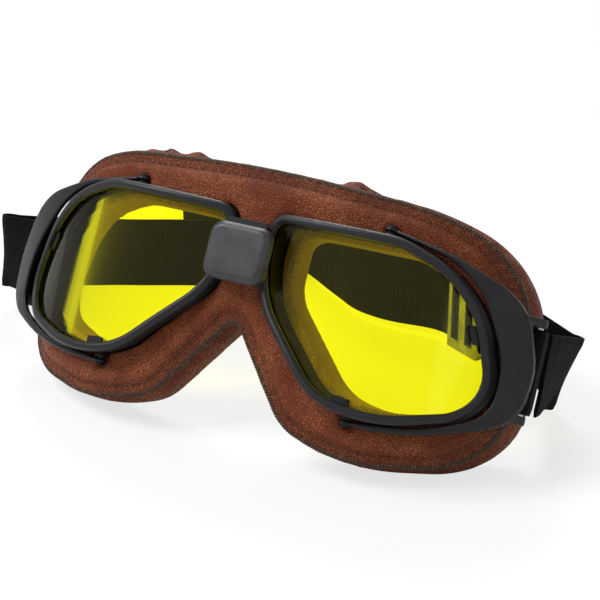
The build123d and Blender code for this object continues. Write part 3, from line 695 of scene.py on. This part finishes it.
def along_route(route, gap=0.0012):
    """Even places, upper directions and lengths along a route with rounded corners."""
    corners = []
    for across, back, height, rounding, lean_way in route:
        if back is None:
            tail = on_face(math.copysign(pin_across, across), tail_back, pin_height)
            corners.append((np.array(tail), rounding, np.array(face_up)))
        else:
            spot = np.array((face_middle.x + across, face_middle.y + back, height))
            corners.append((spot, rounding, np.array(lean_way, float)))
    places, uppers = [], []
    for number, (spot, rounding, upper) in enumerate(corners):
        if not rounding:
            places.append(spot)
            uppers.append(upper)
            continue
        before, before_up = corners[number - 1][0], corners[number - 1][2]
        after, after_up = corners[number + 1][0], corners[number + 1][2]
        back_way, on_way = before - spot, after - spot
        back_length, on_length = np.linalg.norm(back_way), np.linalg.norm(on_way)
        half_turn = math.acos(np.clip(back_way @ on_way / back_length / on_length, -1, 1)) / 2
        cut = min(rounding / math.tan(half_turn), back_length * 0.49, on_length * 0.49)
        for share in np.linspace(0, 1, 9):
            leave = spot + back_way * cut / back_length * (1 - share)
            join = spot + on_way * cut / on_length * share
            places.append(leave * (1 - share) + join * share)
            mix_up = (before_up - upper) * cut / back_length * (1 - share)
            uppers.append(upper + mix_up + (after_up - upper) * cut / on_length * share)
    places, uppers = np.array(places), np.array(uppers)
    length = np.concatenate(([0], np.cumsum(np.linalg.norm(np.diff(places, axis=0), axis=1))))
    even = np.linspace(0, length[-1], int(length[-1] / gap))
    places = np.column_stack([np.interp(even, length, places[:, axis]) for axis in range(3)])
    uppers = np.column_stack([np.interp(even, length, uppers[:, axis]) for axis in range(3)])
    for _ in range(4):
        places[1:-1] = (places[:-2] + 2 * places[1:-1] + places[2:]) / 4
        uppers[1:-1] = (uppers[:-2] + 2 * uppers[1:-1] + uppers[2:]) / 4
    return places, uppers, even


def sewn_band(name, places, uppers, lengths, ripple=0.0004):
    """A closed band of webbing with rounded edges, swept along its places."""
    rows = 13
    profile = [(share, 0.5) for share in np.linspace(-0.5, 0.5, rows)]
    profile += [(share, -0.5) for share in np.linspace(0.5, -0.5, rows)]
    sides = len(profile)
    headings = np.gradient(places, axis=0)
    points, maps = [], []
    for place, upper, heading, length in zip(places, uppers, headings, lengths):
        heading = heading / np.linalg.norm(heading)
        upper = upper - heading * (upper @ heading)
        upper = upper / np.linalg.norm(upper)
        outer = np.cross(heading, upper)
        for share, layer in profile:
            rim_round = 1 - 0.55 * max(0, abs(share) - 0.46) / 0.04
            bend = noise.noise(Vector((length * 60, share * 2.2, 5))) * ripple
            bend *= min(1, 4 * abs(share) + 0.4)
            spot = place + upper * share * band_width + outer * (layer * band_thick * rim_round + bend)
            spot[2] = max(spot[2], 0.00002)
            points.append(spot)
            maps.append((length, share * band_width))
    faces = []
    for number in range(len(places) - 1):
        for side in range(sides):
            near, far = number * sides, (number + 1) * sides
            faces.append((near + side, far + side, far + (side + 1) % sides, near + (side + 1) % sides))
    last = (len(places) - 1) * sides
    faces.append(tuple(range(sides)))
    faces.append(tuple(last + side for side in reversed(range(sides))))
    mesh = bpy.data.meshes.new(name)
    mesh.from_pydata([tuple(spot) for spot in points], [], faces)
    flat = mesh.uv_layers.new(name="band")
    for loop in mesh.loops:
        flat.data[loop.index].uv = maps[loop.vertex_index]
    band = bpy.data.objects.new(name, mesh)
    bpy.context.collection.objects.link(band)
    bpy.ops.object.select_all(action="DESELECT")
    band.select_set(True)
    bpy.context.view_layer.objects.active = band
    bpy.ops.object.mode_set(mode="EDIT")
    bpy.ops.mesh.select_all(action="SELECT")
    bpy.ops.mesh.normals_make_consistent(inside=False)
    bpy.ops.object.mode_set(mode="OBJECT")
    bpy.ops.object.shade_smooth_by_angle(angle=math.radians(50))
    return band


elastic = Finish("black_elastic", specular=0.08)
band_flat = elastic.flat_map("band")
cords = (band_flat.part(0) * (2 * math.pi / 0.0011)).sine()
warp = (band_flat.part(1) * (2 * math.pi / 0.0014)).sine()
lint = elastic.place.cloud(700, 4.0, 0.7)
elastic.wear(
    Base_Color=(cords * 0.25 + lint * 0.9).step(0.2, 0.9).tint(shade(4, 4, 6), shade(14, 14, 17)),
    Roughness=lint.step(0.3, 0.7, 0.7, 0.9),
    Normal=(cords * 0.5 + warp * 0.15 + lint * 0.3).relief(0.0001, 0.6),
)
band_places, band_uppers, band_lengths = along_route(plan_route)
halves_meet = np.array(face_middle)[:2] + (0, 0.1125)
middle = int(np.argmin(np.linalg.norm(band_places[:, :2] - halves_meet, axis=1)))
left_strap = sewn_band(
    "left_strap", band_places[: middle + 1], band_uppers[: middle + 1], band_lengths[: middle + 1]
)
right_strap = sewn_band("right_strap", band_places[middle:], band_uppers[middle:], band_lengths[middle:])
elastic.paint(left_strap, right_strap)
for half, yoke_body, sign, reach_back in (
    (left_strap, "left_yoke_body", -1, 0.014),
    (right_strap, "right_yoke_body", 1, 0.032),
):
    tail_place = on_face(sign * pin_across, tail_back, pin_height)
    tail_place + Vector((0, reach_back, 0))
    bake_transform(half)
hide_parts("strap")

# Strap tail: the cut end of the same webbing, turned back through the slider and lying
# against the rear of the straight run.
run_start = np.array((face_middle.x + 0.0309, face_middle.y + 0.1128, 0.0168))
run_way = np.array((0.88436, -0.46681, 0))
run_side = np.array((0.46681, 0.88436, 0))
tail_rows = 40
tail_run = np.linspace(0.0065, 0.0525, tail_rows)
tail_lift = 0.00165
tail_places = run_start + run_way * tail_run[:, None] + run_side * tail_lift
tail_uppers = np.tile((0.0, 0, 1), (tail_rows, 1))
strap_end = sewn_band("strap_end", tail_places, tail_uppers, tail_run, ripple=0.00005)
elastic.paint(strap_end)
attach(strap_end, "goggles")
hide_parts("strap_tail")

# Strap loops: each end of the webbing goes round its pin and is sewn to itself; the
# two rows of black thread that hold it are not drawn.
sewn_gap = 0.00002
loop_neck = 0.0033
loop_round = 0.00315 - band_thick / 2
loop_mid = face_places(frame["nodes"]["right_strap_pin"].data)[:, 1].mean()
loop_tail_back = face_places(frame["nodes"]["right_strap_loop"].data)[:, 1].max()
for side_name, sign in (("left", -1), ("right", 1)):
    turns = np.linspace(math.radians(62), math.radians(-242), 30)
    ring = [(loop_round * math.cos(turn), loop_mid + loop_round * math.sin(turn)) for turn in turns]
    beside = band_thick / 2 + sewn_gap
    inner = [(beside, back) for back in np.linspace(loop_tail_back, loop_mid + loop_neck, 5)]
    outer = [(-beside, back) for back in np.linspace(loop_mid + loop_neck, loop_tail_back, 5)]
    loop_line = inner + ring + outer
    loop_places = np.array(
        [tuple(on_face(sign * pin_across + across, back, pin_height)) for across, back in loop_line]
    )
    loop_lengths = np.concatenate(
        ([0], np.cumsum(np.linalg.norm(np.diff(loop_places, axis=0), axis=1)))
    )
    strap_loop = sewn_band(
        side_name + "_sewn_loop",
        loop_places,
        np.tile(np.array(face_up), (len(loop_line), 1)),
        loop_lengths,
        ripple=0.0,
    )
    elastic.paint(strap_loop)
    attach(strap_loop, side_name + "_yoke_body")
    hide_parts(side_name + "_strap_loop")

bpy.ops.object.select_all(action="DESELECT")
